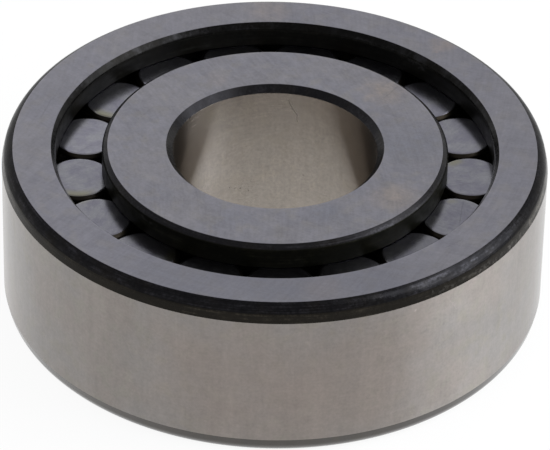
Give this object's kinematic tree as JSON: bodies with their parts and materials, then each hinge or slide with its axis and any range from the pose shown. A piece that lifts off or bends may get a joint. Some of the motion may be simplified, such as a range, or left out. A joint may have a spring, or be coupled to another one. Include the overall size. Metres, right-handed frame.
{
  "type": "cylindrical roller bearing",
  "caption": "Single-row full-complement cylindrical roller bearing: ribbed outer ring, rollers with no cage, and an inner ring with one rib and a plain shaft bore.",
  "frame": {"origin": "on the bearing's axis, at the middle of the bottom face", "axes": "+Z is the bearing's axis and points to the face whose ribs are on both rings; +X points to the right as the picture is seen"},
  "size_m": [0.08, 0.08, 0.026],
  "materials": {
    "outer_ring_steel": "ground bearing steel with blackened corners",
    "inner_ring_steel": "ground bearing steel with blackened corners",
    "roller_steel": "ground and honed bearing steel"
  },
  "bodies": {
    "outer_ring": {"outer_ring": "outer_ring_steel"},
    "inner_ring": {"inner_ring": "inner_ring_steel"},
    "roller_01": {"roller_01": "roller_steel"},
    "roller_02": {"roller_02": "roller_steel"},
    "roller_03": {"roller_03": "roller_steel"},
    "roller_04": {"roller_04": "roller_steel"},
    "roller_05": {"roller_05": "roller_steel"},
    "roller_06": {"roller_06": "roller_steel"},
    "roller_07": {"roller_07": "roller_steel"},
    "roller_08": {"roller_08": "roller_steel"},
    "roller_09": {"roller_09": "roller_steel"},
    "roller_10": {"roller_10": "roller_steel"},
    "roller_11": {"roller_11": "roller_steel"},
    "roller_12": {"roller_12": "roller_steel"},
    "roller_13": {"roller_13": "roller_steel"},
    "roller_14": {"roller_14": "roller_steel"},
    "roller_15": {"roller_15": "roller_steel"},
    "roller_16": {"roller_16": "roller_steel"},
    "roller_17": {"roller_17": "roller_steel"}
  },
  "joints": [
    {"name": "inner_ring_spin", "type": "hinge", "parent": "outer_ring", "child": "inner_ring", "pos_m": [0, 0, 0.013], "axis": [0, 0, 1], "continuous": true},
    {"name": "roller_orbit", "type": "hinge", "parent": "outer_ring", "child": "roller_01", "pos_m": [0, 0, 0.013], "axis": [0, 0, 1], "continuous": true},
    {"name": "roller_02_spin", "type": "hinge", "parent": "roller_01", "child": "roller_02", "pos_m": [-0.00642, 0.0281, 0.013], "axis": [0, 0, 1], "continuous": true},
    {"name": "roller_03_spin", "type": "hinge", "parent": "roller_01", "child": "roller_03", "pos_m": [-0.01614, 0.02388, 0.013], "axis": [0, 0, 1], "continuous": true},
    {"name": "roller_04_spin", "type": "hinge", "parent": "roller_01", "child": "roller_04", "pos_m": [-0.02368, 0.01644, 0.013], "axis": [0, 0, 1], "continuous": true},
    {"name": "roller_05_spin", "type": "hinge", "parent": "roller_01", "child": "roller_05", "pos_m": [-0.02802, 0.00677, 0.013], "axis": [0, 0, 1], "continuous": true},
    {"name": "roller_06_spin", "type": "hinge", "parent": "roller_01", "child": "roller_06", "pos_m": [-0.02857, -0.0038, 0.013], "axis": [0, 0, 1], "continuous": true},
    {"name": "roller_07_spin", "type": "hinge", "parent": "roller_01", "child": "roller_07", "pos_m": [-0.02527, -0.01387, 0.013], "axis": [0, 0, 1], "continuous": true},
    {"name": "roller_08_spin", "type": "hinge", "parent": "roller_01", "child": "roller_08", "pos_m": [-0.01855, -0.02206, 0.013], "axis": [0, 0, 1], "continuous": true},
    {"name": "roller_09_spin", "type": "hinge", "parent": "roller_01", "child": "roller_09", "pos_m": [-0.00933, -0.02727, 0.013], "axis": [0, 0, 1], "continuous": true},
    {"name": "roller_10_spin", "type": "hinge", "parent": "roller_01", "child": "roller_10", "pos_m": [0.00115, -0.0288, 0.013], "axis": [0, 0, 1], "continuous": true},
    {"name": "roller_11_spin", "type": "hinge", "parent": "roller_01", "child": "roller_11", "pos_m": [0.01148, -0.02644, 0.013], "axis": [0, 0, 1], "continuous": true},
    {"name": "roller_12_spin", "type": "hinge", "parent": "roller_01", "child": "roller_12", "pos_m": [0.02025, -0.02051, 0.013], "axis": [0, 0, 1], "continuous": true},
    {"name": "roller_13_spin", "type": "hinge", "parent": "roller_01", "child": "roller_13", "pos_m": [0.02629, -0.01181, 0.013], "axis": [0, 0, 1], "continuous": true},
    {"name": "roller_14_spin", "type": "hinge", "parent": "roller_01", "child": "roller_14", "pos_m": [0.02878, -0.00151, 0.013], "axis": [0, 0, 1], "continuous": true},
    {"name": "roller_15_spin", "type": "hinge", "parent": "roller_01", "child": "roller_15", "pos_m": [0.02739, 0.00899, 0.013], "axis": [0, 0, 1], "continuous": true},
    {"name": "roller_16_spin", "type": "hinge", "parent": "roller_01", "child": "roller_16", "pos_m": [0.02229, 0.01827, 0.013], "axis": [0, 0, 1], "continuous": true},
    {"name": "roller_17_spin", "type": "hinge", "parent": "roller_01", "child": "roller_17", "pos_m": [0.01418, 0.02509, 0.013], "axis": [0, 0, 1], "continuous": true}
  ],
  "couplings": [
    {"joint": "roller_orbit", "follows": "inner_ring_spin", "ratio": 0.40899},
    {"joint": "roller_02_spin", "follows": "inner_ring_spin", "ratio": -2.656},
    {"joint": "roller_03_spin", "follows": "inner_ring_spin", "ratio": -2.656},
    {"joint": "roller_04_spin", "follows": "inner_ring_spin", "ratio": -2.656},
    {"joint": "roller_05_spin", "follows": "inner_ring_spin", "ratio": -2.656},
    {"joint": "roller_06_spin", "follows": "inner_ring_spin", "ratio": -2.656},
    {"joint": "roller_07_spin", "follows": "inner_ring_spin", "ratio": -2.656},
    {"joint": "roller_08_spin", "follows": "inner_ring_spin", "ratio": -2.656},
    {"joint": "roller_09_spin", "follows": "inner_ring_spin", "ratio": -2.656},
    {"joint": "roller_10_spin", "follows": "inner_ring_spin", "ratio": -2.656},
    {"joint": "roller_11_spin", "follows": "inner_ring_spin", "ratio": -2.656},
    {"joint": "roller_12_spin", "follows": "inner_ring_spin", "ratio": -2.656},
    {"joint": "roller_13_spin", "follows": "inner_ring_spin", "ratio": -2.656},
    {"joint": "roller_14_spin", "follows": "inner_ring_spin", "ratio": -2.656},
    {"joint": "roller_15_spin", "follows": "inner_ring_spin", "ratio": -2.656},
    {"joint": "roller_16_spin", "follows": "inner_ring_spin", "ratio": -2.656},
    {"joint": "roller_17_spin", "follows": "inner_ring_spin", "ratio": -2.656}
  ]
}
